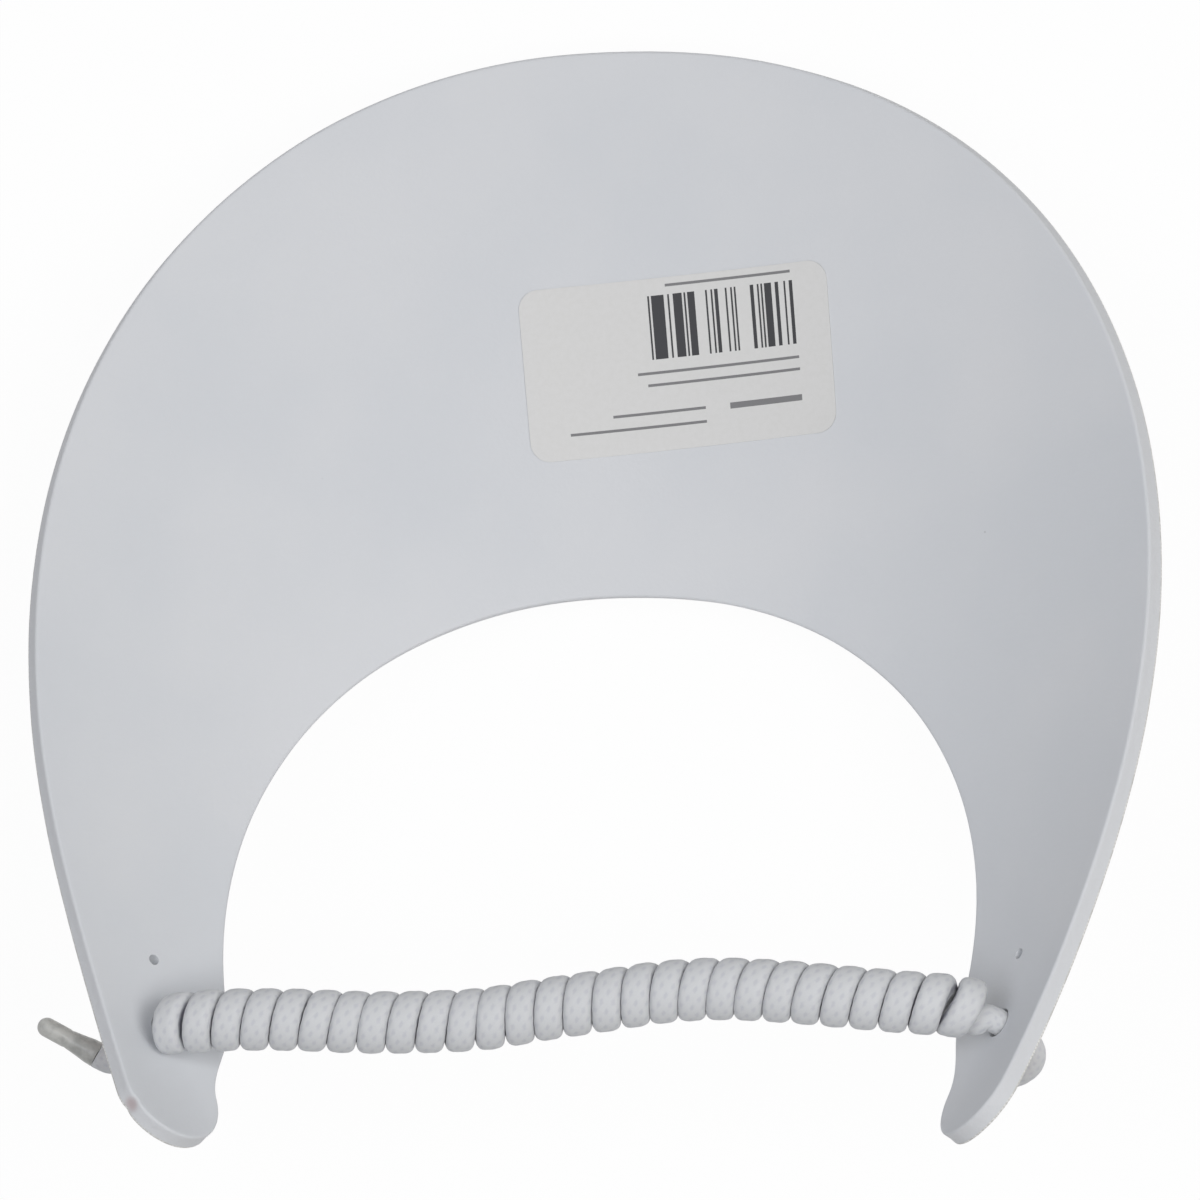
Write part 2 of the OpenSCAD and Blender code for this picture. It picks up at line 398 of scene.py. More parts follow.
@dataclass(frozen=True)
class AcetateTipFinish:
    """Cellulose acetate, wrapped hot round the lace's end: smooth, cloudy and slightly glossy."""

    body: str = "BCBCB7"
    cloud: str = "A1A19D"
    roughness: float = 0.32
    cloud_mm: float = 2.2

    def material(self) -> bpy.types.Material:
        """Builds the moulded tips' material.

        Returns:
            The tips' material.
        """
        material, add = new_material("Cellulose acetate, heat-shrunk")
        place = add("ShaderNodeTexCoord").outputs["Object"]
        cloud = add(NOISE, {"Vector": place, "Scale": 1 / (self.cloud_mm * MM), "Detail": 3.0,
                            "Roughness": 0.55})
        share = add(RANGE, (cloud, 0.35, 0.7, 0.0, 1.0), **SMOOTH)
        bump = add(BUMP, {"Strength": 0.15, "Distance": 0.05 * MM, "Height": cloud})
        paint(add, self.body, [(share, self.cloud)],
              {"Roughness": self.roughness, "IOR": 1.48, "Coat Weight": 0.15,
               "Coat Roughness": 0.2, "Normal": bump})
        return material


@dataclass(frozen=True)
class StudioFloorFinish:
    """Seamless white paper: what the camera sees is near white, and it still takes the visor's shadow."""

    paper: str = "F4F4F4"
    seen_as_white: float = 0.96
    pulp_mm: float = 1.5

    def material(self) -> bpy.types.Material:
        """Builds the floor's material.

        Returns:
            The floor's material.
        """
        material, add = new_material("Seamless background paper")
        share = add(MATH, (seen_directly(add), self.seen_as_white), operation="MULTIPLY")
        place = add("ShaderNodeTexCoord").outputs["Object"]
        pulp = add(NOISE, {"Vector": place, "Scale": 1 / (self.pulp_mm * MM), "Detail": 3.0})
        bump = add(BUMP, {"Strength": 0.05, "Distance": 0.05 * MM, "Height": pulp})
        paper = add("ShaderNodeBsdfDiffuse", {"Color": linear(self.paper), "Normal": bump})
        white = add("ShaderNodeEmission", {"Color": (1.0, 1.0, 1.0, 1.0), "Strength": 1.0})
        add(OUTPUT, {"Surface": add("ShaderNodeMixShader", (share, paper, white))})
        return material


# ---------------------------------------------------------------- mesh and line helpers

def link_object(name: str, data: object) -> bpy.types.Object:
    """Makes an object from its data and puts it in the scene.

    Args:
        name: The object's name.
        data: Its mesh, camera or lamp.

    Returns:
        The linked object.
    """
    obj = bpy.data.objects.new(name, data)
    bpy.context.scene.collection.objects.link(obj)
    return obj


def make_object(name: str, verts: np.ndarray, faces: list, material: bpy.types.Material,
                smooth_angle: float = 40.0) -> bpy.types.Object:
    """Makes an object at the origin from points in metres.

    Args:
        name: The piece's name.
        verts: Points, one row each.
        faces: Index tuples, facing outwards.
        material: The piece's one material.
        smooth_angle: Edges sharper than this stay sharp, in degrees.

    Returns:
        The linked object.
    """
    mesh = bpy.data.meshes.new(name)
    mesh.from_pydata([tuple(p) for p in verts], [], faces)
    mesh.materials.append(material)
    mesh.validate()
    mesh.shade_smooth()
    mesh.set_sharp_from_angle(angle=math.radians(smooth_angle))
    return link_object(name, mesh)


def store_float(obj: bpy.types.Object, name: str, values: np.ndarray) -> None:
    """Stores one number for each point of a mesh."""
    layer = obj.data.attributes.new(name, "FLOAT", "POINT")
    layer.data.foreach_set("value", np.asarray(values, np.float32))


def store_uv(obj: bpy.types.Object, name: str, flat: np.ndarray) -> None:
    """Stores a UV map from one flat place for each point.

    Args:
        obj: The mesh object.
        name: The map's name.
        flat: The flat places, one row for each point.
    """
    layer = obj.data.uv_layers.new(name=name)
    corners = np.empty(len(obj.data.loops), np.int64)
    obj.data.loops.foreach_get("vertex_index", corners)
    layer.data.foreach_set("uv", np.asarray(flat, np.float32)[corners].ravel())


def bake_modifiers(obj: bpy.types.Object) -> None:
    """Turns a mesh object with live modifiers into a plain mesh of the same shape.

    Args:
        obj: The object, whose modifiers are evaluated and removed.
    """
    bpy.context.view_layer.update()
    graph = bpy.context.evaluated_depsgraph_get()
    plain = bpy.data.meshes.new_from_object(obj.evaluated_get(graph), preserve_all_data_layers=True,
                                            depsgraph=graph)
    obj.modifiers.clear()
    obj.data = plain
    plain.name = obj.name


def bridge(low: list[int], high: list[int], steps: int) -> list[tuple[int, ...]]:
    """Joins two rows of points with faces, where either row may be a single point.

    Args:
        low: The first row.
        high: The second row. A closed ring has as many points as steps, and an open row one more.
        steps: How many faces to make.

    Returns:
        The faces.
    """
    faces = []
    for k in range(steps):
        j = (k + 1) % max(len(low), len(high))
        if len(low) == 1:
            faces.append((low[0], high[j], high[k]))
        elif len(high) == 1:
            faces.append((low[k], low[j], high[0]))
        else:
            faces.append((low[k], low[j], high[j], high[k]))
    return faces


def hang_across(obj: bpy.types.Object, reach: float, slot: Slot, *nodes: str) -> None:
    """Bakes a piece's place into its mesh, hides the frame's nodes that it stands for, and logs it.

    Args:
        obj: The piece.
        reach: Not used.
        slot: Not used.
        *nodes: The frame's nodes that it replaces.
    """
    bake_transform(obj)
    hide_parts(*nodes)
    LOG.info("%s: %d faces", obj.name, len(obj.data.polygons))


def distances(line: np.ndarray) -> np.ndarray:
    """Returns how far along a line each of its points is."""
    return np.r_[0, np.cumsum(np.linalg.norm(np.diff(line, axis=0), axis=1))]


def sampled(line: np.ndarray, along: np.ndarray, places: np.ndarray) -> np.ndarray:
    """Reads a line, with each point's distance along it, at other distances."""
    return np.column_stack([np.interp(places, along, line[:, k]) for k in range(line.shape[1])])


def smooth_step(share: np.ndarray) -> np.ndarray:
    """Rises from 0 to 1 with flat ends, and stays there past them."""
    share = np.clip(share, 0, 1)
    return share * share * (3 - 2 * share)


def smooth_through(points: np.ndarray, step: float) -> np.ndarray:
    """Draws an even, smooth line through points.

    Args:
        points: Places that the line passes through.
        step: Spacing of the result, in the same unit.

    Returns:
        Evenly spaced points of a centripetal Catmull-Rom line.
    """
    ends = np.vstack([2 * points[0] - points[1], points, 2 * points[-1] - points[-2]])
    # Each pass blends neighbours between the knots that they span, until one point is left
    passes = (((0, 1), (1, 2), (2, 3)), ((0, 2), (1, 3)), ((1, 2),))
    out = []
    for k in range(1, len(ends) - 2):
        four = ends[k - 1:k + 3]
        knots = np.r_[0, np.cumsum(np.sqrt(np.linalg.norm(np.diff(four, axis=0), axis=1)))]
        for t in np.linspace(knots[1], knots[2], 24, endpoint=False):
            row = four
            for spans in passes:
                row = [((knots[j] - t) * row[n] + (t - knots[i]) * row[n + 1]) / (knots[j] - knots[i])
                       for n, (i, j) in enumerate(spans)]
            out.append(row[0])
    out.append(points[-1])
    line = np.array(out)
    along = distances(line)
    return sampled(line, along, np.linspace(0, along[-1], max(2, int(round(along[-1] / step)) + 1)))


def eased(line: np.ndarray, reach: int) -> np.ndarray:
    """Evens out a line of points.

    Args:
        line: The points.
        reach: How many neighbours on each side a point is averaged with.

    Returns:
        The smoother line, with its ends where they were.
    """
    padded = np.pad(line, ((reach, reach), (0, 0)), "reflect", reflect_type="odd")
    window = np.ones(2 * reach + 1) / (2 * reach + 1)
    return np.column_stack([np.convolve(padded[:, k], window, "valid") for k in range(line.shape[1])])


# ---------------------------------------------------------------- the flat pattern and its bend

@dataclass
class VisorPattern:
    """The die-cut outline and the cone that it is bent to, with the part's own sizes in millimetres."""

    brim_w: float = 224.0
    brim_front: float = 98.0
    widest_back: float = 24.0
    opening_w: float = 158.0
    opening_depth: float = 80.0
    arm_len: float = 17.0
    tip_w: float = 20.8
    tip_step: float = 6.0
    arm_lean: float = 0.0
    outline_power: float = 2.15
    cone_angle: float = 45.0
    apex_back: float = 142.0
    sheet_t: float = 3.3
    cover_t: float = 0.4
    hole_from_tip: float = 24.0
    pin_from_tip: float = 37.5
    hole_inset: float = 2.0
    hole_d: float = 5.6
    pin_d: float = 2.0
    middle_y: float = field(init=False)

    def __post_init__(self) -> None:
        """Finds the arms' directions, and the shift that puts the visor's middle at y = 0."""
        lean = math.radians(self.arm_lean)
        self.arm_way = np.array([-math.sin(lean), -math.cos(lean)])
        self.arm_side = np.array([math.cos(lean), -math.sin(lean)])
        self.tip_mid = np.array([self.opening_w / 2 + self.tip_step + self.tip_w / 2,
                                 -self.opening_depth - self.arm_len])
        self.middle_y = 0.0
        outer, inner = self.half_edges(30, 16, 7, 85.0)
        ys = [self.bend(line, h)[:, 1] for line in (outer, inner) for h in (0.0, self.sheet_t)]
        self.middle_y = (max(y.max() for y in ys) + min(y.min() for y in ys)) / 2

    def on_arm(self, from_end: float) -> np.ndarray:
        """Returns the flat place of a hole in the right arm at a distance from the arm's end."""
        return (self.tip_mid + (self.tip_w / 2 - from_end) * self.arm_way
                - self.hole_inset * self.arm_side)

    def _edge(self, half_w: float, depth: float, middle_v: float, side: float, front: int,
              down: int, tip: int, sweep: float) -> np.ndarray:
        """Draws one edge of the right half from the centre line in front to the end of the arm.

        Args:
            half_w: Half the curve's width.
            depth: How far in front of its widest place its middle is.
            middle_v: Where its widest place is.
            side: 1 for the outer edge and -1 for the inner.
            front: Steps round the front.
            down: Steps down the arm.
            tip: Steps round the arm's end.
            sweep: How far round the arm's end it goes, in degrees.

        Returns:
            The edge's flat places.
        """
        turn = np.radians(np.linspace(0, 90, front + 1))
        power = 2 / self.outline_power
        quarter = np.column_stack([half_w * np.sin(turn) ** power,
                                   depth * np.maximum(np.cos(turn), 0) ** power + middle_v])
        start = np.array([half_w, middle_v])
        radius = self.tip_w / 2
        finish = self.tip_mid + side * radius * self.arm_side
        reach = np.linalg.norm(finish - start) / 3
        t = (np.arange(1, down + 1) / down)[:, None]
        arm = ((1 - t) ** 3 * start + 3 * t * (1 - t) ** 2 * (start + np.array([0, -reach]))
               + 3 * t * t * (1 - t) * (finish - reach * self.arm_way) + t ** 3 * finish)
        a = np.radians(sweep * np.arange(1, tip + 1) / tip)[:, None]
        cap = self.tip_mid + radius * (np.cos(a) * side * self.arm_side + np.sin(a) * self.arm_way)
        return np.vstack([quarter, arm, cap])

    def half_edges(self, front: int, down: int, tip: int,
                   sweep: float = 90.0) -> tuple[np.ndarray, np.ndarray]:
        """Draws the right half's outer and inner edge with as many stations on each.

        Args:
            front: Steps round the front.
            down: Steps down the arm.
            tip: Steps round the arm's end.
            sweep: How far round the arm's end each goes, in degrees.

        Returns:
            The outer and the inner edge's flat places.
        """
        outer = self._edge(self.brim_w / 2, self.brim_front + self.widest_back, -self.widest_back,
                           1.0, front, down, tip, sweep)
        inner = self._edge(self.opening_w / 2, self.opening_depth, -self.opening_depth,
                           -1.0, front, down, tip, sweep)
        return outer, inner

    def _turned(self, flat: np.ndarray) -> tuple[np.ndarray, np.ndarray, np.ndarray]:
        """Finds where flat places lie round the cone.

        Args:
            flat: Places on the pattern, one row each.

        Returns:
            The axis, and for each place its distance from the apex and its way out from the axis.
        """
        half = math.radians(self.cone_angle)
        axis = np.array([0.0, math.cos(half), math.sin(half)])
        reach = np.hypot(flat[:, 0], flat[:, 1] + self.apex_back)
        turn = np.arctan2(flat[:, 0], flat[:, 1] + self.apex_back) / math.sin(half)
        out = np.column_stack([np.sin(turn), math.sin(half) * np.cos(turn),
                               -math.cos(half) * np.cos(turn)])
        return axis, reach, out

    def inward(self, flat: np.ndarray) -> np.ndarray:
        """Finds the sheet's normals towards its hollow side.

        Args:
            flat: Places on the pattern, one row each.

        Returns:
            One normal for each place.
        """
        half = math.radians(self.cone_angle)
        axis, _, out = self._turned(np.atleast_2d(flat))
        return math.sin(half) * axis - math.cos(half) * out

    def bend(self, flat: np.ndarray, height: object) -> np.ndarray:
        """Lays flat places on the cone.

        Args:
            flat: Places on the pattern, one row each.
            height: Distance above the outer face, as one number or one for each place.

        Returns:
            Points in millimetres in the row frame.
        """
        flat = np.atleast_2d(flat)
        half = math.radians(self.cone_angle)
        axis, reach, out = self._turned(flat)
        lift = np.broadcast_to(np.asarray(height, float), (len(flat),))[:, None]
        points = reach[:, None] * (math.cos(half) * axis + math.sin(half) * out)
        points = points + lift * self.inward(flat)
        return points - np.array([0.0, self.apex_back + self.middle_y, 0.0])


@dataclass
class BentSheet:
    """One layer of the visor: a closed ring of edge stations, and a grid across each face."""

    pattern: VisorPattern
    front: int = 64
    down: int = 40
    tip: int = 16
    across: int = 26
    # A die leaves the edge a little wavy
    waviness: float = 0.10
    waves: tuple = ((9, 0.5, 0.4), (23, 0.3, 2.1), (41, 0.2, 4.0))
    nick_at: tuple[float, float] = (-105.0, -101.0)
    nick_deep: float = 0.45
    nick_reach: float = 2.6
    # How far from a lace hole the lace pulls the foam in
    dimple_reach: float = 3.2

    def outline(self) -> np.ndarray:
        """Draws the whole outline, a little wavy and with its small nick.

        Returns:
            Its flat places, clockwise from the middle of the front.
        """
        outer, inner = self.pattern.half_edges(self.front, self.down, self.tip)
        flip = np.array([-1.0, 1.0])
        loop = np.vstack([outer, inner[-2::-1], inner[1:] * flip, outer[-2:0:-1] * flip])
        normal = self._inward_2d(loop)
        along = distances(loop)
        total = along[-1] + np.linalg.norm(loop[0] - loop[-1])
        wave = sum(a * np.sin(2 * math.pi * k * along / total + p)
                   for k, a, p in self.waves)
        away = np.linalg.norm(loop - np.array(self.nick_at), axis=1)
        dent = self.nick_deep * np.clip(1 - away / self.nick_reach, 0, 1) ** 2
        return loop + normal * (self.waviness * (0.5 + 0.5 * wave) + dent)[:, None]

    @staticmethod
    def _inward_2d(loop: np.ndarray) -> np.ndarray:
        """Finds the inward normals of a clockwise loop.

        Args:
            loop: The loop's flat places.

        Returns:
            One normal for each place.
        """
        way = np.roll(loop, -1, axis=0) - np.roll(loop, 1, axis=0)
        way /= np.linalg.norm(way, axis=1)[:, None]
        return np.column_stack([way[:, 1], -way[:, 0]])

    def _rows(self, ring: list[int], flats: list, heights: list, height: float) -> list[list[int]]:
        """Fills a face from its ring of stations.

        Args:
            ring: The ring's points.
            flats: Every point's flat place, which this adds to.
            heights: Every point's height, which this adds to.
            height: The face's height.

        Returns:
            The face's rows of points, from the left tip to the right.
        """
        n = self.front + self.down + self.tip
        rows = []
        for station in range(-n, n + 1):
            k = abs(station)
            if station >= 0:
                first, last = ring[k], ring[2 * n - k]
            else:
                first, last = ring[(4 * n - k) % (4 * n)], ring[2 * n + k]
            if k == n:
                rows.append([first])
                continue
            a, b = np.array(flats[first]), np.array(flats[last])
            row = [first]
            for j in range(1, self.across):
                flats.append(tuple(a + (b - a) * j / self.across))
                heights.append(height)
                row.append(len(flats) - 1)
            rows.append(row + [last])
        return rows

    def build(self, name: str, profile: list[tuple[float, float]], cut: list[float],
              material: bpy.types.Material, dimple: float = 0.0) -> bpy.types.Object:
        """Builds the layer as one closed mesh.

        Args:
            name: The piece's name.
            profile: Inset from the outline and height, from the middle of the lower face round the
                edge to the upper face.
            cut: How much of each profile place is cut face, from 0 to 1.
            material: The layer's material.
            dimple: How far the lace pulls the upper face in round its holes.

        Returns:
            The layer, with its holes punched.
        """
        base = self.outline()
        normal = self._inward_2d(base)
        flats: list = []
        heights: list = []
        rings = []
        for inset, height in profile:
            ring = base + normal * inset
            rings.append(list(range(len(flats), len(flats) + len(ring))))
            flats.extend(map(tuple, ring))
            heights.extend([height] * len(ring))
        faces = [face for lower, upper in zip(rings, rings[1:])
                 for face in bridge(upper, lower, len(base))]
        for ring, height, top in ((rings[0], profile[0][1], False), (rings[-1], profile[-1][1], True)):
            rows = self._rows(ring, flats, heights, height)
            for left, right in zip(rows, rows[1:]):
                faces += [face if top else face[::-1] for face in bridge(left, right, self.across)]
        flat = np.array(flats)
        height = np.array(heights)
        for side in (1, -1):
            hole = self.pattern.on_arm(self.pattern.hole_from_tip) * np.array([side, 1])
            away = np.linalg.norm(flat - hole, axis=1) - self.pattern.hole_d / 2
            pull = dimple * smooth_step(1 - away / self.dimple_reach)
            height = height - np.where(height > self.pattern.sheet_t / 2, pull, 0)
        obj = make_object(name, self.pattern.bend(flat, height) * MM, faces, material)
        # Places on the faces are far from the edge, past all that the materials draw near it
        edge = np.full(len(flat), 9.0)
        share = np.zeros(len(flat))
        for ring, (inset, _), amount in zip(rings, profile, cut):
            edge[ring] = inset
            share[ring] = amount
        store_float(obj, "edge_mm", edge)
        store_float(obj, "cut_edge", share)
        store_uv(obj, "flat_cut", flat * MM)
        return self._punch(obj)

    def _punch(self, obj: bpy.types.Object) -> bpy.types.Object:
        """Punches the lace holes and the tie holes square through the layer.

        Args:
            obj: The layer.

        Returns:
            The same layer.
        """
        cutters = []
        for side in (1, -1):
            for place, diameter in ((self.pattern.hole_from_tip, self.pattern.hole_d),
                                    (self.pattern.pin_from_tip, self.pattern.pin_d)):
                flat = self.pattern.on_arm(place) * np.array([side, 1])
                way = Vector(self.pattern.inward(flat)[0])
                middle = Vector(self.pattern.bend(flat, self.pattern.sheet_t / 2)[0]) * MM
                cutter = bmesh.new()
                radius = diameter / 2 * MM
                bmesh.ops.create_cone(cutter, cap_ends=True, segments=48, radius1=radius,
                                      radius2=radius, depth=12 * MM)
                turn = way.to_track_quat("Z", "Y").to_matrix().to_4x4()
                cutter.transform(Matrix.Translation(middle) @ turn)
                mesh = bpy.data.meshes.new("punch")
                cutter.to_mesh(mesh)
                cutter.free()
                cutters.append(link_object("punch", mesh))
                cut = obj.modifiers.new("punch", "BOOLEAN")
                cut.operation = "DIFFERENCE"
                cut.solver = "EXACT"
                cut.object = cutters[-1]
        bake_modifiers(obj)
        for tool in cutters:
            bpy.data.objects.remove(tool)
        obj.data.set_sharp_from_angle(angle=math.radians(40))
        return obj


# ---------------------------------------------------------------- sub-assemblies

@dataclass
class Studio:
    """The camera, the lamps and the pale paper floor."""

    focal_px: float = 20161.0
    frame_px: float = 1200.0
    camera_at: tuple[float, float, float] = (702.7, -174.5, 3536.8)
    right: tuple[float, float, float] = (0.98049, -0.00075, -0.19655)
    up: tuple[float, float, float] = (0.01025, 0.99883, 0.04735)
    # Name, place in metres, width in metres, watts and tint
    lamps: tuple = (("key", (0.9, -0.08, 1.5), 0.9, 14.8, "FFFFFF"),
                    ("fill", (-0.5, 0.0, 1.6), 1.1, 8.5, "F4F7FF"))
    # How bright the white room is as a lamp, where it shows as 1
    room_light: float = 0.225
    sensor_mm: float = 36.0
    floor_size: float = 6.0
    # The paper lies a little lower than the visor, clear of the half that swings down when it is spread
    floor_drop: float = 7.0 * MM
    finish: StudioFloorFinish = field(default_factory=StudioFloorFinish)

    def make_camera(self) -> None:
        """Makes the camera at the viewing place and sets it as the scene's camera."""
        data = bpy.data.cameras.new("camera")
        data.sensor_width = self.sensor_mm
        data.lens = self.focal_px / self.frame_px * self.sensor_mm
        data.clip_start, data.clip_end = 0.05, 20.0
        camera = link_object("camera", data)
        right = Vector(self.right).normalized()
        back = right.cross(Vector(self.up)).normalized()
        up = back.cross(right)
        turn = Matrix((right, up, back)).transposed().to_4x4()
        camera.matrix_world = Matrix.Translation(Vector(self.camera_at) * MM) @ turn
        bpy.context.scene.camera = camera

    def add_lamp(self, name: str, place: tuple[float, float, float], size: float, watts: float,
                 tint: str) -> None:
        """Adds one soft square lamp that points at the visor.

        Args:
            name: The lamp's name.
            place: Its place in metres.
            size: Its width in metres.
            watts: Its power.
            tint: Its sRGB colour.
        """
        data = bpy.data.lights.new(name, "AREA")
        data.shape = "SQUARE"
        data.size = size
        data.energy = watts
        data.color = linear(tint)[:3]
        lamp = link_object(name, data)
        lamp.location = place
        lamp.rotation_euler = (-Vector(place)).to_track_quat("-Z", "Y").to_euler()

    def build(self) -> None:
        """Adds the lamps, the world and the floor."""
        scene = bpy.context.scene
        scene.view_settings.view_transform = "Standard"
        for lamp in self.lamps:
            self.add_lamp(*lamp)
        world = bpy.data.worlds.new("studio")
        world.use_nodes = True
        world.node_tree.nodes.clear()
        scene.world = world
        add = partial(add_node, world.node_tree)
        strength = add(MATH, (seen_directly(add), 1 - self.room_light, self.room_light),
                       operation="MULTIPLY_ADD")
        room = add("ShaderNodeBackground", {"Color": (1.0, 1.0, 1.0, 1.0), "Strength": strength})
        add("ShaderNodeOutputWorld", {"Surface": room})
        half = self.floor_size / 2
        corners = [(x * half, y * half, -self.floor_drop)
                   for x, y in ((-1, -1), (1, -1), (1, 1), (-1, 1))]
        floor = make_object("floor", np.array(corners), [(0, 1, 2, 3)], self.finish.material())
        LOG.info("studio: camera, %d lamps, floor", len(self.lamps))


@dataclass
class LaceRoute:
    """Where the lace lies, in millimetres: its coil's middle, and each tail down to its moulded tip."""

    coil: tuple = ((-74.2, -76.9, 50.9), (-73.4, -76.7, 52.6), (-71.5, -76.5, 54), (-68, -76.2, 54.9),
                   (-64, -76, 55.3), (-59, -75.9, 55.5), (-50, -76, 55.5), (-38, -76.5, 55),
                   (-27, -76.5, 55), (-16, -76, 54.5), (-6, -74.5, 54.5), (5, -73, 54.5),
                   (16, -71.5, 54.5), (26, -71, 54.5), (37, -71.5, 55), (48, -72.5, 55.5),
                   (60, -73.6, 55.4), (65.5, -74, 55), (69.5, -74.5, 53.8), (72.9, -75.9, 51.3))
    left: tuple = ((-74.2, -76.9, 50.9), (-75.4, -77.3, 48.8), (-77.2, -78.4, 47.3), (-78.6, -79.4, 46.1),
                   (-80.3, -80.6, 44.8), (-82.4, -81.9, 43.9), (-84.5, -82.8, 43.5),
                   (-86.6, -82.7, 43.6), (-88.4, -81.7, 43.9))
    right: tuple = ((72.9, -75.9, 51.3), (75.1, -77, 49.2), (77.2, -78.4, 47.3), (78.5, -79.3, 45.9),
                    (79.6, -80.6, 44.4), (80.1, -82.1, 42.9), (79.7, -83.7, 41.5), (78.3, -85, 40.2),
                    (76.5, -85.8, 38.9), (74.4, -86.2, 37.5))
    turns: float = 28.45
    coil_radius: float = 3.3
    # The lace is too stiff to kink, so each point is evened out with this many each way
    ease: int = 4
    # The route's spacing, its points while it is wound, and how many each way its direction is evened over
    guide_step: float = 0.05
    stations: int = 40000
    way_reach: int = 400
    # The lace opens out to its coil, and closes again, over this much of the route
    opening: float = 2.0
    start_gap: float = 1.2
    # Where round its coil the lace starts, as a share of a turn before the top
    first_turn: float = 0.55
    # The first turn stands as upright as the coil does this far on
    upright_over: float = 4.0
    # and the last turn leans as much as the coil does this far from its end
    upright_to: float = 4.5

    def guide(self) -> tuple[np.ndarray, float, float]:
        """Draws the route's middle line.

        Returns:
            Even points from the left tip to the right tip, and how far along the coil starts and ends.
        """
        left, coil, right = (np.array(part, float) for part in (self.left, self.coil, self.right))
        line = smooth_through(np.vstack([left[::-1], coil[1:], right[1:]]), self.guide_step)
        starts, ends = (distances(line)[np.argmin(np.linalg.norm(line - end, axis=1))]
                        for end in (coil[0], coil[-1]))
        return line, starts + self.start_gap, ends

    def centreline(self, step: float = 0.32) -> tuple[np.ndarray, np.ndarray]:
        """Winds the lace round the coil's part of the route.

        Args:
            step: Spacing of the points, in millimetres.

        Returns:
            The lace's own middle line in millimetres, evenly spaced, and for each point the coil's
            direction, as long as the coil is open there.
        """
        line, starts, ends = self.guide()
        along = distances(line)
        fine = np.linspace(0, along[-1], self.stations)
        base = sampled(line, along, fine)
        way = eased(np.gradient(base, axis=0), self.way_reach)
        way /= np.linalg.norm(way, axis=1)[:, None]
        later = np.interp(np.clip(fine, starts + self.upright_over, ends - self.upright_to), fine,
                          np.arange(len(fine)))
        way = way[later.astype(int)]
        # Where the coil runs straight across, its side is simply +Y
        side = np.where(np.abs(way[:, :1]) < 0.999, np.cross(np.array([0.0, 0.0, 1.0]), way),
                        np.array([0.0, 1.0, 0.0]))
        side /= np.linalg.norm(side, axis=1)[:, None]
        up = np.cross(way, side)
        share = np.clip((fine - starts) / (ends - starts), 0, 1)
        turn = 2 * math.pi * (share * self.turns - self.first_turn)
        opened = smooth_step((fine - starts) / self.opening) * smooth_step((ends - fine) / self.opening)
        radius = self.coil_radius * opened[:, None]
        wound = base + radius * np.sin(turn)[:, None] * side + radius * np.cos(turn)[:, None] * up
        length = distances(wound)
        even = np.linspace(0, length[-1], int(length[-1] / step) + 1)
        return (eased(sampled(wound, length, even), self.ease),
                sampled(way * opened[:, None], length, even))


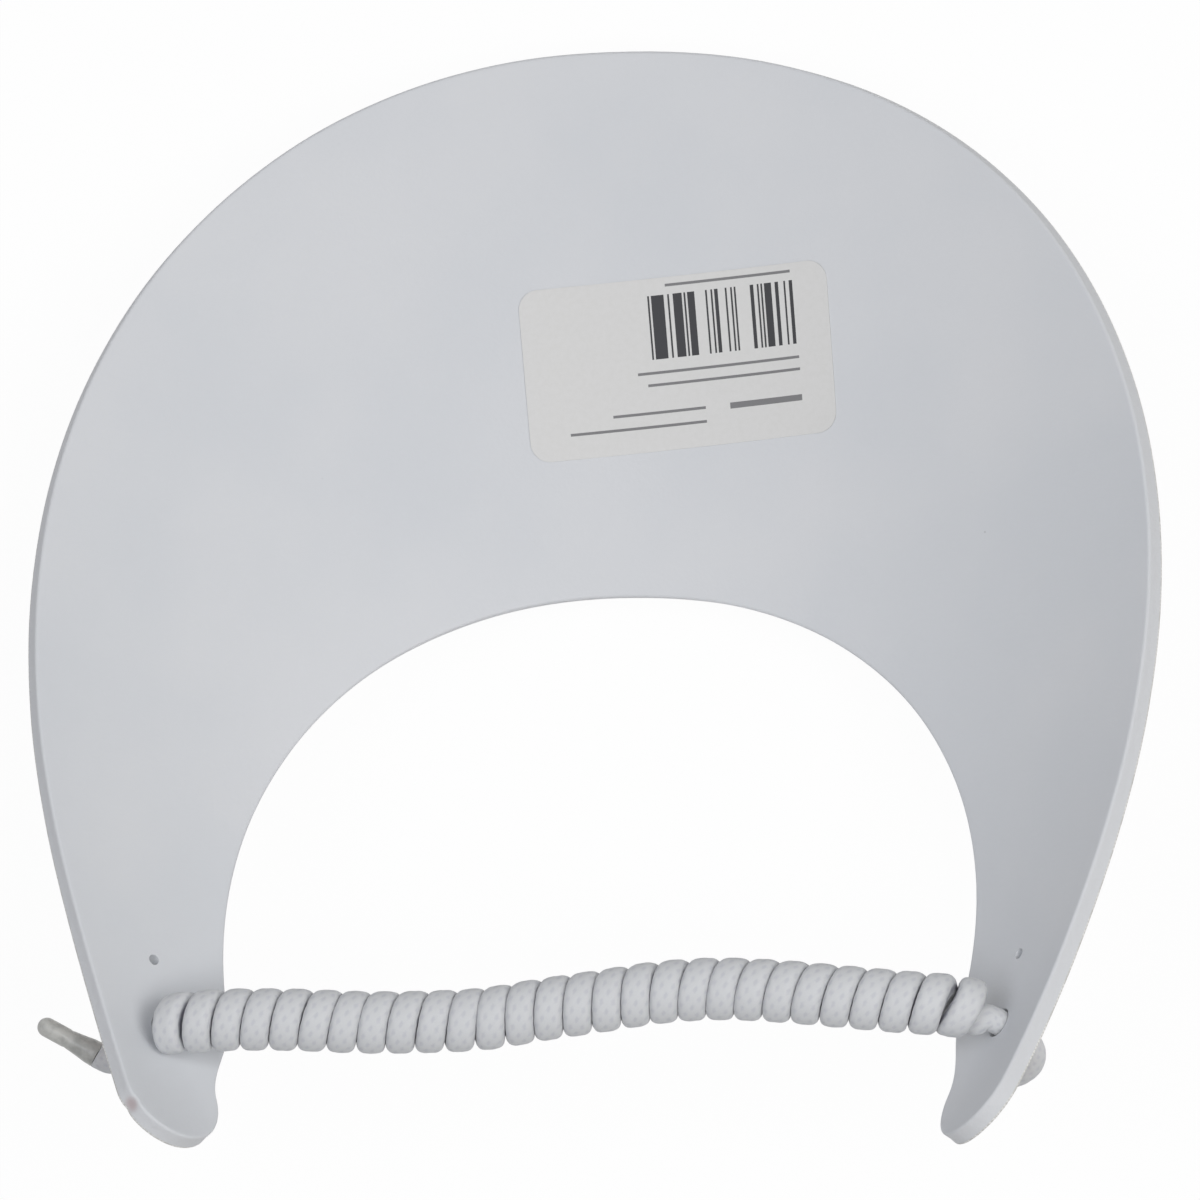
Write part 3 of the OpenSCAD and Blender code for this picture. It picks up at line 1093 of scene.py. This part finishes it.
@dataclass
class CoiledLace:
    """The one braided lace: a tail through each arm, and its coil behind the wearer's head."""

    route: LaceRoute = field(default_factory=LaceRoute)
    thickness: float = 4.7
    sides: int = 44
    strands: int = 8
    # One strand goes once round the lace in this length
    lay_mm: float = 17.0
    relief_mm: float = 0.09
    # How much higher one strand stands where it passes over another
    over_and_under: float = 0.35
    # Where the turns press together, the lace is this much wider along the coil
    swell: float = 0.08
    squareness: float = 3.4
    # A distance from the centre line, in metres, given with the lace
    bends_within: float = 0.062
    finish: BraidedLaceFinish = field(default_factory=BraidedLaceFinish)

    def braid_tree(self, material: bpy.types.Material) -> bpy.types.GeometryNodeTree:
        """Builds the node tree that turns a line into a braided lace.

        Args:
            material: The lace's material.

        Returns:
            The tree, with named inputs for its sizes.
        """
        tree = bpy.data.node_groups.new("Braided lace", "GeometryNodeTree")
        for name, kind, value in (("Line", "Geometry", None), ("Thickness", "Float", 0.0),
                                  ("Relief", "Float", 0.0), ("Lay", "Float", 1.0),
                                  ("Strands", "Float", 6.0), ("Swell", "Float", 0.0),
                                  ("Squareness", "Float", 2.0), ("Sides", "Int", 32)):
            socket = tree.interface.new_socket(name, in_out="INPUT", socket_type=f"NodeSocket{kind}")
            if value is not None:
                socket.default_value = value
        tree.interface.new_socket("Lace", in_out="OUTPUT", socket_type="NodeSocketGeometry")
        add = partial(add_node, tree)
        given = add("NodeGroupInput").outputs
        line = add("GeometryNodeMeshToCurve", {"Mesh": given["Line"]})
        length = add("GeometryNodeSplineParameter").outputs["Length"]
        line = add(STORE, {"Geometry": line, "Name": "lace_length", "Value": length})
        line = add(STORE, {"Geometry": line, "Name": "lace_middle",
                           "Value": add("GeometryNodeInputPosition")}, **VECTORS)
        radius = add(MATH, (given["Thickness"], 0.5), operation="MULTIPLY")
        ring = add("GeometryNodeCurvePrimitiveCircle", {"Resolution": given["Sides"], "Radius": radius},
                   mode="RADIUS")
        turns = add(MATH, (add("GeometryNodeInputIndex"), 2 * math.pi), operation="MULTIPLY")
        turn = add(MATH, (turns, given["Sides"]), operation="DIVIDE")
        ring = add(STORE, {"Geometry": ring, "Name": "lace_turn", "Value": turn})
        tube = add("GeometryNodeCurveToMesh", {"Curve": line, "Profile Curve": ring, "Fill Caps": True})
        # The strands' places come from the length along the lace and the turn round it
        lays = add(MATH, (add(NAMED, {"Name": "lace_length"}), given["Lay"]), operation="DIVIDE")
        phase = add(MATH, (lays, 2 * math.pi), operation="MULTIPLY")
        spin, pushed = (add(MATH, (angle, given["Strands"]), operation="MULTIPLY")
                        for angle in (add(NAMED, {"Name": "lace_turn"}), phase))
        families = []
        for way in ("ADD", "SUBTRACT"):
            twist = add(MATH, (spin, pushed), operation=way)
            twist = add(MATH, (twist, 0.5), operation="MULTIPLY")
            families.append(add(MATH, (twist,), operation="COSINE"))
        # Each family's bundles are rounded ridges, and at every crossing one passes over the other
        crossed = add(MATH, tuple(families), operation="MULTIPLY")
        crossed = add(MATH, (crossed, self.over_and_under), operation="MULTIPLY")
        ridges = [add(MATH, (add(MATH, (family,), operation="ABSOLUTE"), crossed), operation=way)
                  for family, way in zip(families, ("ADD", "SUBTRACT"))]
        ridge = add(MATH, tuple(ridges), operation="MAXIMUM")
        height = add(MATH, (ridge, 1 + self.over_and_under), operation="DIVIDE")
        depth = add(MATH, (height, 1.0), operation="SUBTRACT")
        depth = add(MATH, (given["Relief"], depth), operation="MULTIPLY")
        offset = add(VECTOR, {0: add("GeometryNodeInputNormal"), "Scale": depth}, operation="SCALE")
        moved = add("GeometryNodeSetPosition", {"Geometry": self._squash(add, tube, given),
                                                "Offset": offset})
        kept = add(STORE, {"Geometry": moved, "Name": "braid_height", "Value": height})
        smooth = add("GeometryNodeSetShadeSmooth", {"Geometry": kept})
        real = add("GeometryNodeRealizeInstances", {"Geometry": smooth})
        dressed = add("GeometryNodeSetMaterial", {"Geometry": real, "Material": material})
        add("NodeGroupOutput", (dressed,))
        return tree

    @staticmethod
    def _squash(add: Callable, tube: bpy.types.Node, given: dict) -> bpy.types.Node:
        """Presses the round lace squarer, and wider along the coil, where its turns touch.

        Args:
            add: Adds a node to the tree.
            tube: The round lace.
            given: The tree's named inputs.

        Returns:
            The pressed lace.
        """
        coil_way, middle = (add(NAMED, {"Name": name}, **VECTORS) for name in ("coil_way", "lace_middle"))
        out = add(VECTOR, (add("GeometryNodeInputPosition"), middle), operation="SUBTRACT")
        open_share = add(VECTOR, (coil_way,), operation="LENGTH").outputs["Value"]
        facing = add(VECTOR, (out,), operation="NORMALIZE")
        along = add(VECTOR, (facing, coil_way), operation="DOT_PRODUCT").outputs["Value"]
        # Its section is a superellipse, whose power is 2, a circle, where the coil is closed
        extra = add(MATH, (given["Squareness"], 2.0), operation="SUBTRACT")
        power = add(MATH, (open_share, extra, 2.0), operation="MULTIPLY_ADD")
        part = add(MATH, (along,), operation="ABSOLUTE")
        rest = add(MATH, (part, part), operation="MULTIPLY")
        rest = add(MATH, (1.0, rest), operation="SUBTRACT")
        rest = add(MATH, (rest, 0.0), operation="MAXIMUM")
        rest = add(MATH, (rest,), operation="SQRT")
        total = add(MATH, tuple(add(MATH, (share, power), operation="POWER") for share in (part, rest)),
                    operation="ADD")
        inverse = add(MATH, (-1.0, power), operation="DIVIDE")
        square = add(MATH, (total, inverse), operation="POWER")
        growth = add(MATH, (square, 1.0), operation="SUBTRACT")
        grown = add(VECTOR, {0: out, "Scale": growth}, operation="SCALE")
        reach = add(VECTOR, (out, coil_way), operation="DOT_PRODUCT").outputs["Value"]
        spread = add(MATH, (given["Swell"], reach), operation="MULTIPLY")
        wider = add(VECTOR, {0: coil_way, "Scale": spread}, operation="SCALE")
        tube = add(STORE, {"Geometry": tube, "Name": "pressed", "Value": part})
        return add("GeometryNodeSetPosition", {
            "Geometry": tube, "Offset": add(VECTOR, (grown, wider), operation="ADD")})

    def build(self) -> bpy.types.Object:
        """Builds the lace's mesh, and keeps its middle line for the cord's measure.

        Returns:
            The lace.
        """
        middle, coil_way = self.route.centreline()
        self.middle = middle * MM
        mesh = bpy.data.meshes.new("lace")
        mesh.from_pydata([tuple(p) for p in self.middle], [(k, k + 1) for k in range(len(middle) - 1)], [])
        mesh.attributes.new("coil_way", "FLOAT_VECTOR", "POINT").data.foreach_set(
            "vector", coil_way.astype(np.float32).ravel())
        obj = link_object("lace", mesh)
        braid = obj.modifiers.new("braid", "NODES")
        braid.node_group = tree = self.braid_tree(self.finish.material())
        values = {"Thickness": self.thickness * MM, "Relief": self.relief_mm * MM,
                  "Lay": self.lay_mm * MM, "Strands": float(self.strands),
                  "Sides": self.sides, "Swell": self.swell, "Squareness": self.squareness}
        for item in tree.interface.items_tree:
            if item.in_out == "INPUT" and item.name in values:
                braid[item.identifier] = values[item.name]
        bake_modifiers(obj)
        LOG.info("lace: %d turns, %.3f m", self.route.turns, self.length())
        return obj

    def length(self) -> float:
        """Returns the lace's length along its middle, in metres."""
        return float(distances(self.middle)[-1])

    def attach(self, obj: bpy.types.Object) -> None:
        """Args:
            obj: The lace.
        """
        hang_across(obj, self.bends_within, Slot.LACE, "lace_coil", "lace_tail_left", "lace_tail_right")
        round(self.length(), 3)


@dataclass
class MouldedTip:
    """A wrapped plastic tip on one end of the lace."""

    side: str
    body: Body
    end: tuple[float, float, float]
    before: tuple[float, float, float]
    lace_d: float = 4.7
    tip_d: float = 3.5
    length: float = 12.0
    collar: float = 2.5
    rounds: int = 48
    nose_steps: int = 8
    # The overlap of the wrap shows as one low ridge along the tip, this high and this many faces wide
    ridge: float = 0.05
    ridge_faces: float = 1.6

    def profile(self) -> list[tuple[float, float]]:
        """Draws the tip's outline, from its collar to its round nose.

        Returns:
            Radius and distance along the tip at each step.
        """
        nose = self.tip_d / 2
        # A rolled rim on the lace, a taper over the collar's length, and a shallow crimp round the tip
        steps = [(0.0, 0.25)]
        steps += [(self.lace_d / 2 - less, z)
                  for less, z in ((0.35, 0.25), (0.08, 0.12), (0.0, 0.35), (0.05, 0.75))]
        steps += [(nose + more, self.collar * z)
                  for more, z in ((0.5, 0.7), (0.34, 1.1), (0.2, 1.5), (0.08, 1.9), (0.0, 2.2),
                                  (-0.06, 2.3), (-0.06, 2.45), (0.0, 2.55))]
        steps.append((nose, self.length - nose))
        for a in np.radians(np.linspace(0, 90, self.nose_steps + 1))[1:]:
            steps.append((nose * math.cos(a), self.length - nose + nose * math.sin(a)))
        return steps

    def build(self, material: bpy.types.Material) -> bpy.types.Object:
        """Builds the tip and puts it on its body.

        Args:
            material: The tips' shared material.

        Returns:
            The tip.
        """
        end, before = Vector(self.end), Vector(self.before)
        turn = (end - before).to_track_quat("Z", "Y").to_matrix()
        verts, rings = [], []
        for radius, z in self.profile():
            if radius < 1e-6:
                rings.append([len(verts)])
                verts.append((0.0, 0.0, z))
                continue
            rings.append(list(range(len(verts), len(verts) + self.rounds)))
            for k in range(self.rounds):
                a = 2 * math.pi * k / self.rounds
                high = self.ridge * math.exp(-((k - self.rounds / 4) / self.ridge_faces) ** 2)
                out = radius + (high if z > self.collar else 0.0)
                verts.append((out * math.cos(a), out * math.sin(a), z))
        faces = [face for low, high in zip(rings, rings[1:]) for face in bridge(low, high, self.rounds)]
        placed = np.array([(turn @ Vector(v) + end) * MM for v in verts])
        obj = make_object(f"moulded_tip_{self.side}", placed, faces, material, 50.0)
        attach(obj, self.body.value)
        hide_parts(f"aglet_{self.side}")
        LOG.info("moulded tip, %s", self.side)
        return obj


@dataclass
class Brim:
    """The foam sheet and the cloth on its outer face, each in one piece from arm to arm."""

    pattern: VisorPattern = field(default_factory=VisorPattern)
    foam_finish: EvaFoamFinish = field(default_factory=EvaFoamFinish)
    cover_finish: WovenCoverFinish = field(default_factory=WovenCoverFinish)
    edge_round: float = 0.55
    round_steps: int = 6
    # How far the lace pulls the foam's upper face in round its holes
    dimple: float = 0.3

    def foam_profile(self) -> tuple[list[tuple[float, float]], list[float]]:
        """Draws the foam's cut edge, with its rounded upper corner.

        Returns:
            Inset and height from the lower face to the upper face, and how much of each place is cut.
        """
        low, high, r = self.pattern.cover_t, self.pattern.sheet_t, self.edge_round
        places = [(0.0, low), (0.03, low + 0.5), (0.07, low + 1.1), (0.04, low + 1.7), (0.0, high - r)]
        cut = [1.0] * len(places)
        for k in range(1, self.round_steps + 1):
            a = math.radians(90 * k / self.round_steps)
            places.append((r * (1 - math.cos(a)), high - r + r * math.sin(a)))
            cut.append(1 - k / self.round_steps)
        places.append((r + 0.6, high))
        return places, cut + [0.0]

    def cover_profile(self) -> tuple[list[tuple[float, float]], list[float]]:
        """Draws the cloth's edge, with places across its printed border.

        Returns:
            Inset and height from the lower face to the upper face, and how much of each place is cut.
        """
        t = self.pattern.cover_t
        places = [(6.0, 0.0), (5.6, 0.0), (5.2, 0.0), (4.6, 0.0), (4.0, 0.0), (3.6, 0.0), (3.2, 0.0),
                  (1.5, 0.0), (0.25, 0.0), (0.08, 0.06), (0.0, 0.18), (0.02, t)]
        return places, [0.0] * 9 + [1.0] * 3

    def build(self) -> None:
        """Builds the foam and its cover, and bakes them in place."""
        sheet = BentSheet(self.pattern)
        nick = Vector(self.pattern.bend(np.array([sheet.nick_at]), 1.6)[0]) * MM
        foam = sheet.build("brim_foam", *self.foam_profile(), self.foam_finish.material(nick), self.dimple)
        cover = sheet.build("brim_cover", *self.cover_profile(), self.cover_finish.material())
        hang_across(foam, BRIM_REACH, Slot.FOAM, "foam_left", "foam_right")
        hang_across(cover, BRIM_REACH, Slot.COVER, "cover_left", "cover_right")
        outer, inner = self.pattern.half_edges(60, 30, 12)


@dataclass
class PaperLabel:
    """The small stuck-on paper label in the hollow of the brim."""

    pattern: VisorPattern
    width: float = 58.0
    height: float = 31.0
    thickness: float = 0.15
    glue: float = 0.06
    corner: float = 3.6
    place: tuple[float, float] = (9.5, 42.0)
    turn: float = 5.0
    columns: int = 72
    corner_steps: int = 8
    rows: int = 30
    # The corners on the right have lifted this much, and the others less
    corner_lift: float = 0.22
    left_lift: float = 0.4
    # Lifting starts this far out and is full this much further, where a side's middle is at 1
    lift_from: float = 1.22
    lift_over: float = 0.19
    finish: LabelPaperFinish = field(default_factory=LabelPaperFinish)

    def build(self) -> None:
        """Builds the label with its round corners and lays it on the bent foam."""
        half_w, half_h, r = self.width / 2, self.height / 2, self.corner
        ends = half_w - r + r * np.sin(np.radians(np.linspace(0, 90, self.corner_steps + 1)))
        middle = np.linspace(-(half_w - r), half_w - r, self.columns + 1 - 2 * self.corner_steps)
        xs = np.r_[-ends[:0:-1], middle, ends[1:]]
        inside = np.clip(np.abs(xs) - (half_w - r), 0, r)
        reach = half_h - (r - np.sqrt(np.maximum(r * r - inside * inside, 0)))
        grid = np.array([[(x, (2 * j / self.rows - 1) * b) for j in range(self.rows + 1)]
                         for x, b in zip(xs, reach)])
        local = grid.reshape(-1, 2)
        spin = math.radians(self.turn)
        flat = np.array(self.place) + local @ np.array([[math.cos(spin), math.sin(spin)],
                                                        [-math.sin(spin), math.cos(spin)]])
        far = np.hypot(local[:, 0] / half_w, local[:, 1] / half_h) - self.lift_from
        lift = self.corner_lift * np.clip(far / self.lift_over, 0, 1) ** 2
        lift *= np.where(local[:, 0] > 0, 1.0, self.left_lift)
        low = self.pattern.bend(flat, self.pattern.sheet_t + self.glue + lift)
        high = self.pattern.bend(flat, self.pattern.sheet_t + self.glue + self.thickness + lift)
        index = np.arange(len(local)).reshape(len(xs), self.rows + 1)
        faces = [face for sheet in (index.tolist(), (index + len(local)).tolist())
                 for row, following in zip(sheet, sheet[1:]) for face in bridge(row, following, self.rows)]
        rim = np.r_[index[:, 0], index[-1, 1:], index[-2::-1, -1], index[0, -2:0:-1]]
        faces += bridge(rim.tolist(), (rim + len(local)).tolist(), len(rim))
        obj = make_object("paper_label", np.vstack([low, high]) * MM, faces,
                          self.finish.material(self.width, self.height), 30.0)
        # The two sheets and the rim are turned outwards together
        mesh = bmesh.new()
        mesh.from_mesh(obj.data)
        bmesh.ops.recalc_face_normals(mesh, faces=mesh.faces)
        mesh.to_mesh(obj.data)
        mesh.free()
        store_uv(obj, "label", np.vstack([local, local]) * MM + np.array([half_w, half_h]) * MM)
        hang_across(obj, BRIM_REACH, Slot.LABEL, "label")


def main() -> None:
    """Builds the camera, the lace and then the rest of the visor."""
    logging.basicConfig(level=logging.INFO, format="%(name)s: %(message)s")
    studio = Studio()
    studio.make_camera()
    lace = CoiledLace()
    cord = lace.build()
    acetate = AcetateTipFinish().material()
    tips = [MouldedTip("left", Body.LEFT, lace.route.left[-1], lace.route.left[-2]).build(acetate),
            MouldedTip("right", Body.RIGHT, lace.route.right[-1], lace.route.right[-2]).build(acetate)]
    lace.attach(cord)
    brim = Brim()
    brim.build()
    PaperLabel(brim.pattern).build()
    studio.build()


if __name__ == "__main__":
    main()
